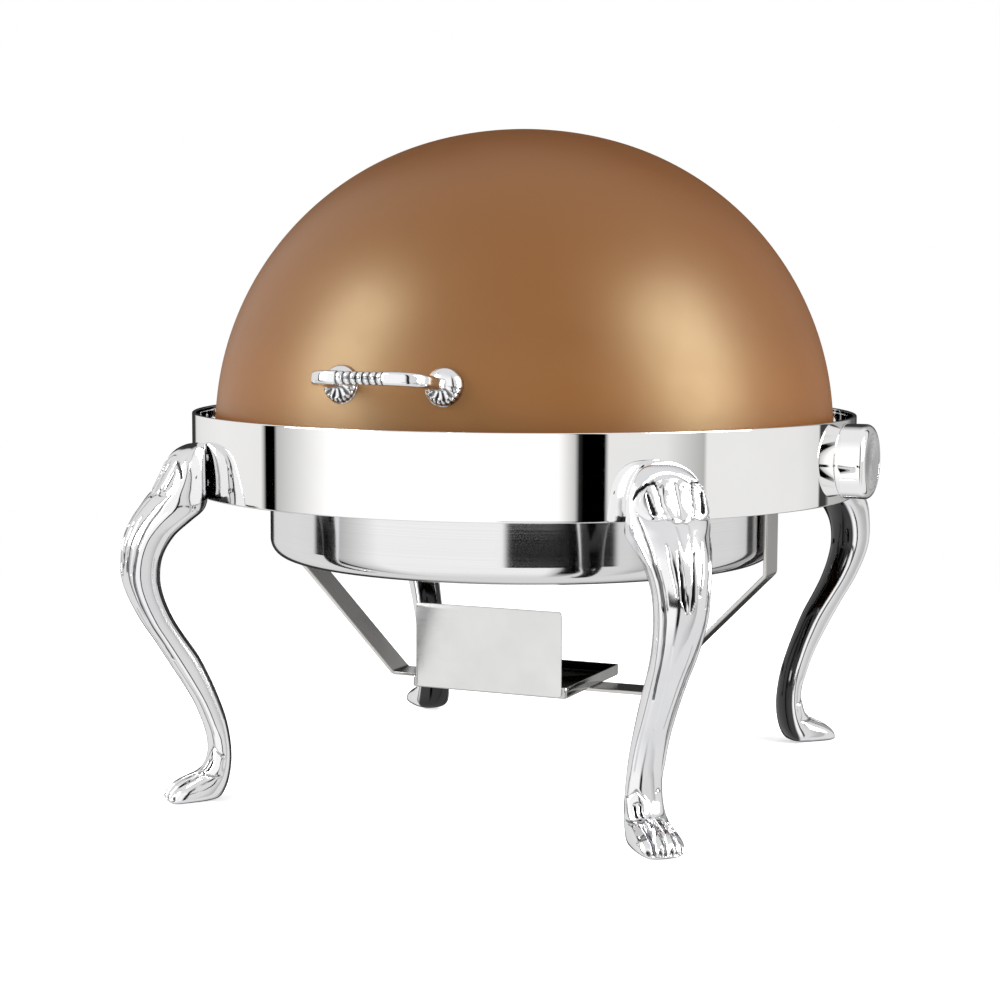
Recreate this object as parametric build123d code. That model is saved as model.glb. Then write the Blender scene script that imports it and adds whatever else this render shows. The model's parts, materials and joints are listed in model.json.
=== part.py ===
from build123d import *
import os
from math import asin, atan2, cos, degrees, pi, radians, sin, sqrt

# Round roll-top chafing dish. Millimetres, +Z up. The origin is on the axis of the ring band, in the
# plane that the feet stand on. +X runs along the lid's pivot axis and -Y faces the person who opens it.

# Ring band
ring_outer_r = 225.0
ring_wall = 1.5
ring_inner_r = ring_outer_r - ring_wall
ring_bottom_z = 197.0
ring_height = 53.0
ring_top_z = ring_bottom_z + ring_height
ring_hem_depth = 1.2
ring_hem_height = 3.0
ring_edge_r = 0.9

# Pivot stack, listed from the nut inside to the cap outside
pivot_z = ring_bottom_z + ring_height / 2
stud_r = 4.0
stud_chamfer = 0.6
stud_x = (188.5, 238.5)
running_gap = 0.05
nut_x = (190.5, 197.0)
nut_across_flats = 13.0
nut_washer_x = (197.0, 198.3)
nut_washer_r = 8.0
bracket_x = (198.3, 200.8)
inner_washer_x = (200.8, 202.95)
bush_x = (203.0, 210.3)
outer_washer_x = (210.35, 211.5)
spacer_x = (211.5, 223.3)
friction_washer_r = 12.0
spacer_r = 8.0
bush_r = 7.0
bush_flange_r = 12.0
bush_flange = 1.5

# Pivot cap
cap_r = 24.25
cap_face_x = 243.0
cap_edge_r = 5.0
cap_dish_r = 18.0
cap_dish_depth = 0.8
cap_wall = 3.0
cap_boss_r = 8.0
cap_inner_bevel = 2.0
cap_bore_gap = 0.1

# Roll-top lid: a lower arc and a flatter crown arc, tangent at the crown angle from vertical
lid_sheet = 1.0
lid_rim_z = 203.0
lid_arc_offset = 8.5
lid_arc_r = 201.05
lid_arc_z = pivot_z + 14.0
lid_crown_angle = 15.0
lid_hem_r = (203.2, 205.9)
lid_hem_height = 3.0
lid_travel = 150.0
# The lid's wall at the pivots lies between these distances from the middle
lid_wall_x = (200.0, 215.0)

# Hinge doubler plates inside the lid and their stop pins
plate_sheet = 2.0
plate_width = 50.0
plate_corner_r = 6.0
plate_z = (207.5, 247.0)
rivet_r = 2.0
rivet_head_r = 3.5
rivet_head = 1.0
lid_rivet_head = 1.3
lid_rivet_overlap = 0.6
hinge_rivets_y = 19.0
hinge_rivets_z = (212.5, 241.0)
stop_orbit_r = 18.0
stop_pin_r = 2.0
stop_start_angle = 15.0
stop_slack = 1.5
stop_slot_width = 4.6
stop_pin_x = (197.3, 207.2)
stop_collar_x = (202.2, 205.1)
stop_collar_r = 3.2

# Handle
handle_half_span = 34.2
handle_z = 275.7
handle_tilt = 8.0
handle_reach = 41.0
bar_depth = 9.0
bar_height = 8.0
bar_corner_r = 10.0
bar_edge_r = 2.2
post_gap = 0.1
spigot_r = 3.5
rosette_r = 11.8
rosette_height = 8.0
rosette_skirt = 4.0
handle_screw_r = 2.0
handle_screw_gap = 0.3
handle_screw_length = 14.0
handle_screw_head_r = 3.8
handle_screw_head = 2.6
handle_screw_edge_r = 1.0
handle_washer = 1.0
handle_washer_r = 5.0
handle_seat_depth = 2.1

# Pivot brackets and hanger strap
bracket_head_r = 24.0
strap_width = 25.0
strap_thick = 2.5
bracket_foot_z = 199.5
bracket_top_z = 222.0
strap_x = 175.0
strap_knee_z = 148.0
strap_floor_x = 93.0
strap_floor_z = 64.0
strap_flange_x = 188.0
strap_bend_r = 3.0
bracket_rivets_z = (209.0, 217.5)
support_rivets_x = 184.0
support_rivets_y = (-7.0, 7.0)

# Pans and the ring that carries them
support_z = 230.5
support_thick = 2.5
support_r = (176.5, 189.0)
pan_rim_z = support_z + support_thick
water_pan_sheet = 1.2
water_pan_r = 173.0
water_pan_floor_z = 152.0
water_pan_rim_r = 187.5
water_pan_corner = 12.0
food_pan_sheet = 1.0
food_pan_depth = 65.0
food_pan_top_r = 165.0
food_pan_floor_r = 160.0
food_pan_rim_r = 185.0
food_pan_corner = 14.0
food_pan_bead = 1.5
food_pan_gap = 0.05
pan_rim_corner = 3.0

# Fuel tray and its front plate
tray_half_width = 56.0
tray_y = (-59.0, 41.0)
tray_sheet = 1.2
tray_lip = 6.5
front_plate_half_width = 53.0
front_plate_bottom_z = 65.0
front_plate_height = 57.0
front_plate_corner = 2.5
tray_rivets_x = 36.0

# Cast legs, fixed to the ring at four places
front_leg_angle = 42.4
back_leg_angle = 41.5
leg_screw_z = (208.0, 224.0)
leg_screw_r = 3.0
leg_screw_length = 16.0
leg_screw_head_r = 5.5
leg_screw_head = 2.0
leg_screw_edge = 0.5
leg_socket_r = 1.8
leg_socket_depth = 1.3
leg_washer = 0.8
leg_washer_r = 6.5
leg_washer_seat_r = ring_inner_r - 0.1
leg_screw_seat_r = leg_washer_seat_r - leg_washer
leg_screw_tip_r = leg_screw_seat_r + leg_screw_length
# Level sections of a leg from the sole up: height, inner and outer distance from the axis, half width
leg_sections = [
    (0.0, 224.0, 251.5, 14.0),
    (5.0, 221.0, 254.0, 15.2),
    (11.0, 217.5, 252.0, 14.8),
    (17.0, 214.0, 242.0, 13.6),
    (26.0, 211.5, 227.0, 12.2),
    (42.0, 212.0, 226.0, 11.4),
    (66.0, 219.0, 235.0, 11.2),
    (92.0, 232.0, 250.5, 11.8),
    (120.0, 248.5, 269.0, 13.9),
    (149.0, 257.0, 281.5, 16.5),
    (167.0, 252.5, 281.5, 18.5),
    (184.0, 238.5, 275.0, 23.0),
    (196.0, 225.5, 267.5, 27.0),
    (207.0, 220.0, 258.0, 27.8),
    (218.0, 218.0, 250.5, 23.5),
    (227.0, 218.0, 243.5, 16.0),
    (234.0, 220.0, 232.0, 5.0),
]

sides = {"left": -1, "right": 1}
leg_places = {
    "front_left": -90 - front_leg_angle,
    "front_right": -90 + front_leg_angle,
    "back_left": 90 + back_leg_angle,
    "back_right": 90 - back_leg_angle,
}

# How a solid of revolution or a box stands on its own plane, and a length that passes through any sheet
rising = (Align.CENTER, Align.CENTER, Align.MIN)
hanging = (Align.CENTER, Align.CENTER, Align.MAX)
through = 20.0


def turned(section):
    """Solid turned about the Z axis from a half-section drawn with x as radius and y as height."""
    return Rot(90, 0, 0) * revolve(section, Axis.Y)


def polygon(points):
    """Face with straight edges."""
    return make_face(Polyline(*points, close=True))


def band(r_low, r_high, z_low, z_high):
    """Plain ring about the Z axis."""
    return turned(polygon([(r_low, z_low), (r_high, z_low), (r_high, z_high), (r_low, z_high)]))


def rod_x(x_pair, radius, y=0.0, z=pivot_z, side=1):
    """Round rod along X between two distances from the middle, on one side."""
    middle = side * (x_pair[0] + x_pair[1]) / 2
    return Pos(middle, y, z) * Rot(0, 90, 0) * Cylinder(radius, x_pair[1] - x_pair[0])


def tube_x(x_pair, outer_r, inner_r, side):
    """Round tube on the pivot axis."""
    return rod_x(x_pair, outer_r, side=side) - rod_x((x_pair[0] - 1, x_pair[1] + 1), inner_r, side=side)


def sheet_section(path, radii, thickness):
    """Section of bent sheet: the path is one surface and the metal lies on its right."""
    count = len(path)
    headings = []
    for (x0, y0), (x1, y1) in zip(path, path[1:]):
        headings.append(atan2(y1 - y0, x1 - x0))
    far_side = []
    far_radii = []
    near_radii = []
    for i, (x, y) in enumerate(path):
        before = headings[max(i - 1, 0)]
        after = headings[min(i, count - 2)]
        half_turn = ((after - before + 3 * pi) % (2 * pi) - pi) / 2
        mean = before + half_turn
        reach = thickness / cos(half_turn)
        far_side.append((x + reach * sin(mean), y - reach * cos(mean)))
        if 0 < i < count - 1:
            bend = radii[i - 1]
            near_radii.append(bend + thickness if half_turn < 0 else bend)
            far_radii.append(bend if half_turn < 0 else bend + thickness)
    near = FilletPolyline(*path, radius=near_radii)
    far = FilletPolyline(*far_side, radius=far_radii)
    ends = [Line(path[0], far_side[0]), Line(path[-1], far_side[-1])]
    return make_face(near.edges() + far.edges() + ends)


def lid_radius(z, inset=0.0):
    """Distance of the lid's lower arc from the Z axis at a height, set in by a thickness."""
    return lid_arc_offset + sqrt((lid_arc_r - inset) ** 2 - (z - lid_arc_z) ** 2)


def lid_line(inset):
    """The two arcs of the lid's half-section from the rim up to the axis, and their end points."""
    lower_r = lid_arc_r - inset
    rim_angle = degrees(asin((lid_rim_z - lid_arc_z) / lower_r))
    join_angle = 90 - lid_crown_angle
    crown_extra = lid_arc_offset / sin(radians(lid_crown_angle))
    crown_r = lower_r + crown_extra
    crown_z = lid_arc_z - crown_extra * cos(radians(lid_crown_angle))
    lower = CenterArc((lid_arc_offset, lid_arc_z), lower_r, rim_angle, join_angle - rim_angle)
    crown = CenterArc((0, crown_z), crown_r, join_angle, 90 - join_angle)
    return lower, crown


def lid_shell(inset_out, inset_in):
    """Lid-shaped shell between two depths below the lid's outer surface."""
    low_out, top_out = lid_line(inset_out)
    low_in, top_in = lid_line(inset_in)
    rim = Line(low_out @ 0, low_in @ 0)
    axis = Line(top_out @ 1, top_in @ 1)
    return turned(make_face([low_out, top_out, axis, top_in, low_in, rim]))


def lid_core():
    """The whole volume inside the lid's outer surface."""
    low, top = lid_line(0.0)
    floor = Line((0, lid_rim_z), low @ 0)
    axis = Line(top @ 1, (0, lid_rim_z))
    return turned(make_face([low, top, axis, floor]))


def handle_frame(x=0.0):
    """Frame on the lid's surface at the height of the handle: local z points out along a post."""
    across = lid_radius(handle_z)
    y = -sqrt(across**2 - handle_half_span**2)
    out = (0, -cos(radians(handle_tilt)), sin(radians(handle_tilt)))
    return Plane(origin=(x, y, handle_z), x_dir=(1, 0, 0), z_dir=out)


def leg_frame(angle):
    """Turns a leg drawn along +X to its place round the ring."""
    return Rot(0, 0, angle)


# --- Frame: ring, legs and their screws -------------------------------------------------------------

def frame_ring():
    """Thin polished band with a folded hem along both edges."""
    inner_hem_r = ring_inner_r - ring_hem_depth
    ring = band(ring_inner_r, ring_outer_r, ring_bottom_z, ring_top_z)
    ring += band(inner_hem_r, ring_outer_r, ring_top_z - ring_hem_height, ring_top_z)
    ring += band(inner_hem_r, ring_outer_r, ring_bottom_z, ring_bottom_z + ring_hem_height)
    ring = fillet(ring.edges().group_by(Axis.Z)[-1], ring_edge_r)
    ring = fillet(ring.edges().group_by(Axis.Z)[0], ring_edge_r)
    for side in sides.values():
        ring -= rod_x((ring_inner_r - 5, ring_outer_r + 5), stud_r + running_gap, side=side)
    for angle in leg_places.values():
        for z in leg_screw_z:
            hole = rod_x((ring_inner_r - 5, ring_outer_r + 5), leg_screw_r + running_gap, z=z)
            ring -= leg_frame(angle) * hole
    return ring


def leg(angle):
    """Cast cabriole leg with a shield head against the ring and a flat sole."""
    sections = []
    for z, inner, outer, half_width in leg_sections:
        middle = (inner + outer) / 2
        sections.append(Pos(middle, 0, z) * Ellipse((outer - inner) / 2, half_width))
    body = loft(sections)
    seat = Cylinder(ring_outer_r + running_gap, ring_height, align=rising)
    body -= Pos(0, 0, ring_bottom_z - 1) * seat
    for z in leg_screw_z:
        body -= rod_x((ring_outer_r - 5, leg_screw_tip_r + 1), leg_screw_r + running_gap, z=z)
    return leg_frame(angle) * body


def leg_screws():
    """Two low-headed screws for each leg, driven from inside the ring."""
    screws = []
    for angle in leg_places.values():
        for z in leg_screw_z:
            head_end_r = leg_screw_seat_r - leg_screw_head
            head = rod_x((head_end_r, leg_screw_seat_r), leg_screw_head_r, z=z)
            head = chamfer(head.edges().group_by(Axis.X)[0], leg_screw_edge)
            socket = rod_x((head_end_r - 1, head_end_r + leg_socket_depth), leg_socket_r, z=z)
            shank = rod_x((leg_screw_seat_r, leg_screw_tip_r), leg_screw_r, z=z)
            screws.append(leg_frame(angle) * (head + shank - socket))
    return screws


def leg_washers():
    """Flat washer under each leg screw's head."""
    washers = []
    for angle in leg_places.values():
        for z in leg_screw_z:
            disc = rod_x((leg_screw_seat_r, leg_washer_seat_r), leg_washer_r, z=z)
            hole = rod_x((leg_screw_seat_r - 1, leg_washer_seat_r + 1), leg_screw_r + running_gap, z=z)
            washers.append(leg_frame(angle) * (disc - hole))
    return washers


# --- Pivot pieces -----------------------------------------------------------------------------------

def pivot_cap(side):
    """Hollow turned cap outside the ring, with a rounded edge, a dished face and a threaded boss."""
    back_x = ring_outer_r - 4
    inner_x = cap_face_x - cap_wall
    bore_r = stud_r + running_gap
    bore_end_x = stud_x[1] + cap_bore_gap
    edge = CenterArc((cap_face_x - cap_edge_r, cap_r - cap_edge_r), cap_edge_r, 0, 90)
    dish_arc_r = (cap_dish_r**2 + cap_dish_depth**2) / (2 * cap_dish_depth)
    dish_turn = degrees(asin(cap_dish_r / dish_arc_r))
    dish_middle = (cap_face_x - cap_dish_depth, 0)
    dish = CenterArc((dish_middle[0] + dish_arc_r, 0), dish_arc_r, 180 - dish_turn, dish_turn)
    inside = Polyline(
        dish_middle,
        (bore_end_x, 0),
        (bore_end_x, bore_r),
        (back_x, bore_r),
        (back_x, cap_boss_r),
        (inner_x, cap_boss_r),
        (inner_x, cap_r - cap_wall - cap_inner_bevel),
        (inner_x - cap_inner_bevel, cap_r - cap_wall),
        (back_x, cap_r - cap_wall),
        (back_x, cap_r),
        edge @ 1,
    )
    face_ring = Line(edge @ 0, dish @ 0)
    body = revolve(make_face(inside.edges() + [edge, face_ring, dish]), Axis.X)
    body = Pos(0, 0, pivot_z) * (body - Cylinder(ring_outer_r + running_gap, 3 * cap_r))
    return body if side > 0 else mirror(body, Plane.YZ)


def pivot_stud(side):
    """Stud through the whole stack, threaded at both ends, with chamfered tips."""
    stud = rod_x(stud_x, stud_r, side=side)
    return chamfer(stud.edges().filter_by(GeomType.CIRCLE), stud_chamfer)


def pivot_nuts():
    """Hexagon nut on the inner end of each stud."""
    nuts = []
    for side in sides.values():
        middle = side * (nut_x[0] + nut_x[1]) / 2
        hexagon = RegularPolygon(nut_across_flats / 2, 6, major_radius=False)
        nut = extrude(hexagon, (nut_x[1] - nut_x[0]) / 2, both=True)
        nut -= Cylinder(stud_r + running_gap, through)
        nuts.append(Pos(middle, 0, pivot_z) * Rot(0, 90, 0) * nut)
    return nuts


def pivot_washers():
    """Steel washer between each nut and its bracket."""
    return [tube_x(nut_washer_x, nut_washer_r, stud_r + running_gap, side) for side in sides.values()]


def friction_washers(x_pair):
    """Nylon washers that rub on the lid's bushes."""
    return [tube_x(x_pair, friction_washer_r, stud_r + running_gap, side) for side in sides.values()]


def pivot_spacer(side):
    """Sleeve that holds the stack off the inside of the ring."""
    return tube_x(spacer_x, spacer_r, stud_r + running_gap, side)


def pivot_bracket(side):
    """U-bent bracket: a round head on the stud, with the arc slot that limits the lid, and a tab."""
    out_x = bracket_x[1]
    tab_x = strap_x + strap_thick
    path = [
        (out_x, pivot_z + bracket_head_r),
        (out_x, bracket_foot_z),
        (tab_x, bracket_foot_z),
        (tab_x, bracket_top_z),
    ]
    section = sheet_section(path, [strap_bend_r, strap_bend_r], strap_thick)
    body = Rot(90, 0, 0) * extrude(section, bracket_head_r, both=True)
    neck_height = pivot_z - bracket_foot_z
    neck = Pos(0, -neck_height / 2) * Rectangle(strap_width, neck_height)
    head = extrude(Plane.YZ * (Circle(bracket_head_r) + neck), out_x + 1)
    narrow = Box(strap_width, strap_width, 2 * neck_height)
    body &= Pos(0, 0, pivot_z) * head
    tail = body & Pos(tab_x, 0, pivot_z - neck_height / 2) * narrow
    plate_box = Box(strap_width, 4 * strap_width, 4 * strap_width)
    plate = body & Pos(tab_x + strap_width, 0, pivot_z) * plate_box
    body = tail + plate
    body -= rod_x((bracket_x[0] - 1, bracket_x[1] + 1), stud_r + running_gap)
    first = stop_start_angle - stop_slack
    slot_path = CenterArc((0, 0), stop_orbit_r, first, lid_travel + 2 * stop_slack)
    slot = extrude(Plane.YZ * SlotArc(slot_path, stop_slot_width), through)
    body -= Pos(bracket_x[0] - 5, 0, pivot_z) * slot
    for z in bracket_rivets_z:
        body -= rod_x((tab_x - 1, tab_x + strap_thick + 1), rivet_r, z=z)
    return body if side > 0 else mirror(body, Plane.YZ)


# --- Hanger strap, support ring and pans --------------------------------------------------------------

def hanger_strap():
    """Flat bar bent into a cradle under the pan, with a flange at each top end."""
    half_path = [
        (strap_flange_x, support_z),
        (strap_x, support_z),
        (strap_x, strap_knee_z),
        (strap_floor_x, strap_floor_z),
    ]
    path = [(-x, z) for x, z in half_path] + half_path[::-1]
    section = sheet_section(path, [strap_bend_r] * (len(path) - 2), strap_thick)
    strap = Rot(90, 0, 0) * extrude(section, strap_width / 2, both=True)
    for side in sides.values():
        for z in bracket_rivets_z:
            strap -= rod_x((strap_x - 1, strap_x + strap_thick + 1), rivet_r, z=z, side=side)
        for y in support_rivets_y:
            strap -= Pos(side * support_rivets_x, y, support_z) * Cylinder(rivet_r, through)
        strap -= Pos(side * tray_rivets_x, 0, strap_floor_z) * Cylinder(rivet_r, through)
    return strap


def pan_support_ring():
    """Flat ring that carries the rims of both pans."""
    ring = band(support_r[0], support_r[1], support_z, pan_rim_z)
    for side in sides.values():
        for y in support_rivets_y:
            ring -= Pos(side * support_rivets_x, y, pan_rim_z) * Cylinder(rivet_r, through)
    return ring


def frame_rivets():
    """Rivets that join the brackets and the support ring to the strap."""
    rivets = []
    tab_x = strap_x + strap_thick
    for side in sides.values():
        for z in bracket_rivets_z:
            shank = rod_x((strap_x, tab_x + strap_thick), rivet_r, z=z, side=side)
            inner = rod_x((strap_x - rivet_head, strap_x), rivet_head_r, z=z, side=side)
            outer_x = (tab_x + strap_thick, tab_x + strap_thick + rivet_head)
            outer = rod_x(outer_x, rivet_head_r, z=z, side=side)
            rivets.append(shank + inner + outer)
        for y in support_rivets_y:
            low_z = support_z - strap_thick
            place = Pos(side * support_rivets_x, y, low_z)
            shank = Cylinder(rivet_r, pan_rim_z - low_z, align=rising)
            head = Cylinder(rivet_head_r, rivet_head, align=hanging)
            rivets.append(place * (shank + head))
    return rivets


def water_pan():
    """Deep round pan for hot water, hung by its flat rim."""
    inner_floor_z = water_pan_floor_z + water_pan_sheet
    inner_r = water_pan_r - water_pan_sheet
    path = [
        (0, inner_floor_z),
        (inner_r, inner_floor_z),
        (inner_r, pan_rim_z + water_pan_sheet),
        (water_pan_rim_r, pan_rim_z + water_pan_sheet),
    ]
    bends = [water_pan_corner - water_pan_sheet, pan_rim_corner]
    return turned(sheet_section(path, bends, water_pan_sheet))


def food_pan():
    """Shallower tapered pan that lifts out, with a rolled bead round its rim."""
    top_z = pan_rim_z + water_pan_sheet + food_pan_gap + food_pan_sheet
    floor_z = top_z - food_pan_depth
    path = [
        (0, floor_z),
        (food_pan_floor_r, floor_z),
        (food_pan_top_r, top_z),
        (food_pan_rim_r, top_z),
    ]
    section = sheet_section(path, [food_pan_corner, pan_rim_corner], food_pan_sheet)
    bead_z = top_z - food_pan_sheet + food_pan_bead
    section += Pos(food_pan_rim_r, bead_z) * Circle(food_pan_bead)
    return turned(section)


# --- Fuel tray ----------------------------------------------------------------------------------------

def fuel_tray():
    """Folded tray with low lips at the back and both sides and a tall one at the front."""
    depth = tray_y[1] - tray_y[0]
    middle_y = (tray_y[0] + tray_y[1]) / 2
    width = 2 * tray_half_width
    outer = Box(width, depth, tray_lip + tray_sheet, align=rising)
    hollow = Box(width - 2 * tray_sheet, depth - 2 * tray_sheet, through, align=rising)
    tray = Pos(0, middle_y, strap_floor_z) * (outer - Pos(0, 0, tray_sheet) * hollow)
    for side in sides.values():
        tray -= Pos(side * tray_rivets_x, 0, strap_floor_z) * Cylinder(rivet_r, through)
        tray -= Pos(side * tray_rivets_x, 0, strap_floor_z + tray_sheet) * countersink(running_gap)
    return tray


def countersink(gap=0.0):
    """Cone that fills a flush rivet's seat, with its wide end on the plane z = 0."""
    return Cone(rivet_r + gap, rivet_head_r + gap, rivet_head, align=hanging)


def fuel_front_plate():
    """Upright plate welded to the tray's front lip, which hides the flame."""
    outline = RectangleRounded(2 * front_plate_half_width, front_plate_height, front_plate_corner)
    plate = extrude(Plane.XZ * outline, tray_sheet)
    return Pos(0, tray_y[0], front_plate_bottom_z + front_plate_height / 2) * plate


def tray_rivets():
    """Rivets that hold the tray on the strap, flush on top so that a fuel can stands level."""
    rivets = []
    top_z = strap_floor_z + tray_sheet
    low_z = strap_floor_z - strap_thick
    for side in sides.values():
        shank = Cylinder(rivet_r, top_z - low_z, align=rising)
        foot = Cylinder(rivet_head_r, rivet_head, align=hanging)
        rivet = shank + Pos(0, 0, top_z - low_z) * countersink() + foot
        rivets.append(Pos(side * tray_rivets_x, 0, low_z) * rivet)
    return rivets


# --- Lid ------------------------------------------------------------------------------------------------

def dome_lid():
    """Spun dome with a folded hem at its rim and holes for bushes, rivets and handle screws."""
    lid = lid_shell(0.0, lid_sheet)
    lid += band(lid_hem_r[0], lid_hem_r[1], lid_rim_z, lid_rim_z + lid_hem_height)
    for side in sides.values():
        lid -= rod_x(lid_wall_x, bush_r + running_gap, side=side)
        for y, z in hinge_rivet_places():
            lid -= rod_x(lid_wall_x, rivet_r, y=y, z=z, side=side)
        hole = Cylinder(handle_screw_r + handle_screw_gap, through)
        lid -= handle_frame(side * handle_half_span).location * hole
    return lid


def hinge_rivet_places():
    """The y and z of each rivet of one hinge plate."""
    return [(y, z) for y in (-hinge_rivets_y, hinge_rivets_y) for z in hinge_rivets_z]


def hinge_plate(side):
    """Doubler plate that follows the inside of the lid round the pivot."""
    shell = lid_shell(lid_sheet, lid_sheet + plate_sheet)
    height = plate_z[1] - plate_z[0]
    outline = Plane.YZ * RectangleRounded(plate_width, height, plate_corner_r)
    window = Pos(0, 0, (plate_z[0] + plate_z[1]) / 2) * extrude(outline, 2 * lid_arc_r)
    plate = shell & window
    plate -= rod_x(lid_wall_x, bush_r + running_gap)
    for y, z in hinge_rivet_places():
        plate -= rod_x(lid_wall_x, rivet_r, y=y, z=z)
    pin_y, pin_z = stop_pin_place()
    plate -= rod_x(lid_wall_x, stop_pin_r + running_gap, y=pin_y, z=pin_z)
    return plate if side > 0 else mirror(plate, Plane.YZ)


def stop_pin_place():
    """The y and z of a stop pin with the lid closed, at the front end of its slot."""
    turn = radians(stop_start_angle)
    return -stop_orbit_r * cos(turn), pivot_z + stop_orbit_r * sin(turn)


def stop_pins():
    """Pins on the hinge plates that run in the brackets' arc slots."""
    pins = []
    y, z = stop_pin_place()
    for side in sides.values():
        pin = rod_x(stop_pin_x, stop_pin_r, y=y, z=z, side=side)
        pin += rod_x(stop_collar_x, stop_collar_r, y=y, z=z, side=side)
        pins.append(pin)
    return pins


def hinge_rivets(lid, plate_right):
    """Rivets through the lid and its doubler plates."""
    rivets = []
    for y, z in hinge_rivet_places():
        inner_x = sqrt(lid_radius(z, lid_sheet + plate_sheet) ** 2 - y**2)
        outer_x = sqrt(lid_radius(z) ** 2 - y**2)
        shank = rod_x((inner_x, outer_x), rivet_r, y=y, z=z)
        inner = rod_x((inner_x - lid_rivet_head, inner_x + lid_rivet_overlap), rivet_head_r, y=y, z=z)
        outer = rod_x((outer_x - lid_rivet_overlap, outer_x + lid_rivet_head), rivet_head_r, y=y, z=z)
        rivets.append(shank + inner + outer - lid - plate_right)
    return rivets + [mirror(rivet, Plane.YZ) for rivet in rivets]


def pivot_bush(side):
    """Flanged brass bush in the lid, running on the stud."""
    body = rod_x(bush_x, bush_r, side=side)
    body += rod_x((bush_x[0], bush_x[0] + bush_flange), bush_flange_r, side=side)
    return body - rod_x((bush_x[0] - 1, bush_x[1] + 1), stud_r + running_gap, side=side)


def handle_bar():
    """U-shaped bar with rounded corners and a round spigot at each end."""
    span = 2 * handle_half_span
    outer = RectangleRounded(span + bar_depth, 2 * (handle_reach + bar_depth / 2), bar_corner_r)
    inner = RectangleRounded(span - bar_depth, 2 * (handle_reach - bar_depth / 2), bar_corner_r / 2)
    shape = outer - inner
    shape &= Pos(0, handle_reach) * Rectangle(2 * span, 2 * (handle_reach - rosette_height + 1))
    bar = extrude(shape, bar_height / 2, both=True)
    bar = fillet(bar.faces().filter_by(Axis.Z).edges().filter_by(Axis.Y, reverse=True), bar_edge_r)
    bar = Rot(90, 0, 0) * bar
    for side in sides.values():
        spigot = Cylinder(spigot_r, rosette_height, align=rising)
        bar += Pos(side * handle_half_span, 0, 0) * spigot
        hole = Cylinder(handle_screw_r + running_gap, 2 * handle_screw_length)
        bar -= Pos(side * handle_half_span, 0, 0) * hole
    return handle_frame().location * bar - lid_core()


def handle_rosette(side):
    """Domed rose under one end of the handle, saddle-cut to fit the lid."""
    arc = EllipticalCenterArc((0, 0), rosette_r, rosette_height, start_angle=0, arc_size=90)
    skirt = Polyline(arc @ 1, (0, -rosette_skirt), (rosette_r, -rosette_skirt), arc @ 0)
    rose = turned(make_face([arc] + skirt.edges()))
    rose -= Cylinder(spigot_r + running_gap, 2 * through)
    rose = handle_frame(side * handle_half_span).location * rose
    return rose - lid_core() - handle_post_clearance(side)


def handle_post_clearance(side):
    """Room in the rose for the square end of the handle's post."""
    block = Box(bar_depth + post_gap, bar_height + post_gap, through, align=rising)
    return handle_frame(side * handle_half_span).location * Pos(0, 0, rosette_height - 1) * block


def handle_washers():
    """Washer inside the lid under each handle screw."""
    washers = []
    for side in sides.values():
        disc = Pos(0, 0, -handle_seat_depth) * Cylinder(handle_washer_r, handle_washer, align=hanging)
        disc -= Cylinder(handle_screw_r + running_gap, through)
        washers.append(handle_frame(side * handle_half_span).location * disc)
    return washers


def handle_screws():
    """Pan-head screw from inside the lid into each post."""
    screws = []
    for side in sides.values():
        seat = -handle_seat_depth - handle_washer
        tip = seat + handle_screw_length
        middle = (seat + tip) / 2
        shank = Pos(0, 0, middle) * Cylinder(handle_screw_r, handle_screw_length)
        head = Pos(0, 0, seat) * Cylinder(handle_screw_head_r, handle_screw_head, align=hanging)
        head = fillet(head.edges().group_by(Axis.Z)[0], handle_screw_edge_r)
        screws.append(handle_frame(side * handle_half_span).location * (shank + head))
    return screws


def write(name, shape):
    """Write one node, which may be a group of separate solids."""
    if isinstance(shape, list):
        shape = Compound(children=[solid for item in shape for solid in item.solids()])
    elif len(shape.solids()) == 1:
        shape = shape.solid()
    export_step(shape, f"parts/{name}.step")


os.makedirs("parts", exist_ok=True)
write("frame_ring", frame_ring())
for place, angle in leg_places.items():
    write(f"leg_{place}", leg(angle))
write("leg_screws", leg_screws())
write("leg_washers", leg_washers())
write("pivot_nuts", pivot_nuts())
write("pivot_washers", pivot_washers())
write("inner_friction_washers", friction_washers(inner_washer_x))
write("outer_friction_washers", friction_washers(outer_washer_x))
write("hanger_strap", hanger_strap())
write("pan_support_ring", pan_support_ring())
write("frame_rivets", frame_rivets())
write("water_pan", water_pan())
write("food_pan", food_pan())
write("fuel_tray", fuel_tray())
write("fuel_front_plate", fuel_front_plate())
write("tray_rivets", tray_rivets())
lid = dome_lid()
write("dome_lid", lid)
write("hinge_rivets", hinge_rivets(lid, hinge_plate(1)))
write("stop_pins", stop_pins())
write("handle_bar", handle_bar())
write("handle_screws", handle_screws())
write("handle_washers", handle_washers())
for name, side in sides.items():
    write(f"pivot_cap_{name}", pivot_cap(side))
    write(f"pivot_stud_{name}", pivot_stud(side))
    write(f"pivot_spacer_{name}", pivot_spacer(side))
    write(f"pivot_bracket_{name}", pivot_bracket(side))
    write(f"hinge_plate_{name}", hinge_plate(side))
    write(f"pivot_bush_{name}", pivot_bush(side))
    write(f"handle_rosette_{name}", handle_rosette(side))
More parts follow.
